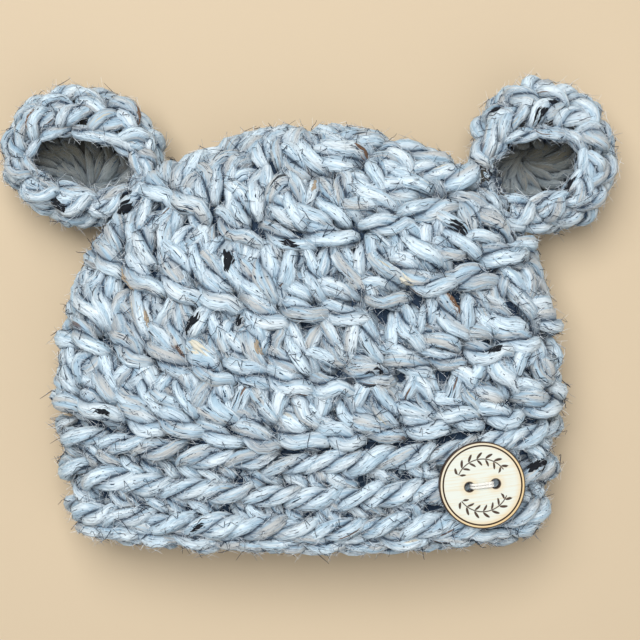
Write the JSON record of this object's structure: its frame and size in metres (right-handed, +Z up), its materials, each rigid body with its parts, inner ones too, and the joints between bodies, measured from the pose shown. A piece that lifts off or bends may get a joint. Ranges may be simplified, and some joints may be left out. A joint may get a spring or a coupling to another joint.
{
  "type": "crocheted baby hat with ears",
  "caption": "Chunky crocheted baby hat with a ribbed brim, two cupped ears sewn to the crown and a round wooden button, lying flat.",
  "frame": {"origin": "on the surface that the hat lies on, below the middle of its whole outline", "axes": "+Z up off the surface, +Y towards the crown's tip, +X to the right seen from above with the crown away"},
  "size_m": [0.1898, 0.1434, 0.0393],
  "materials": {
    "yarn": "bulky two-ply tweed yarn, pale blue-grey with black and brown flecks",
    "button_wood": "sanded pale birch with a scorched rim",
    "sewing_thread": "off-white cotton thread"
  },
  "bodies": {
    "root": {"crown": "yarn", "brim": "yarn", "ear_left": "yarn", "ear_right": "yarn", "button": "button_wood", "button_thread": "sewing_thread"}
  },
  "joints": []
}
